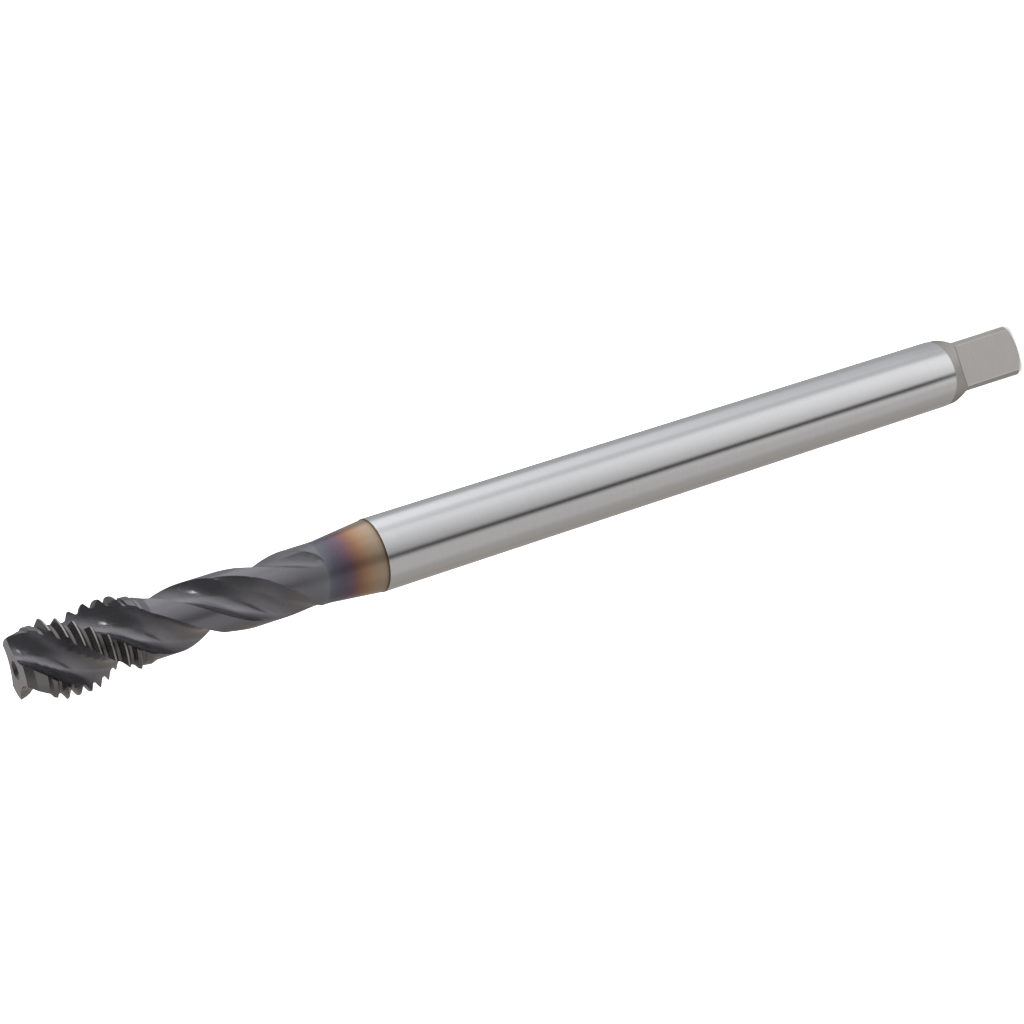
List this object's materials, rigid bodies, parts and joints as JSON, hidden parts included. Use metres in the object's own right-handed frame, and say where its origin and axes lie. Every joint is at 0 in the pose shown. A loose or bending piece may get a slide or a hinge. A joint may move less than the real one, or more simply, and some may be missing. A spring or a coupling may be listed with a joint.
{
  "type": "machine tap with spiral flutes",
  "caption": "Long machine tap for internal threads, with right-hand spiral flutes, a slim fluted neck, a round ground shank and a square drive end.",
  "frame": {"origin": "centre of the square's end face, which the tap stands on", "axes": "+Z along the tool's axis towards the cutting tip; X and Y square to the flats of the drive"},
  "size_m": [0.0102, 0.0102, 0.1524],
  "materials": {
    "tool_steel": "bright ground shank, matte square, dark oxide coating on the fluted head with temper colours on the cone behind it"
  },
  "bodies": {
    "root": {"tap": "tool_steel"}
  },
  "joints": []
}
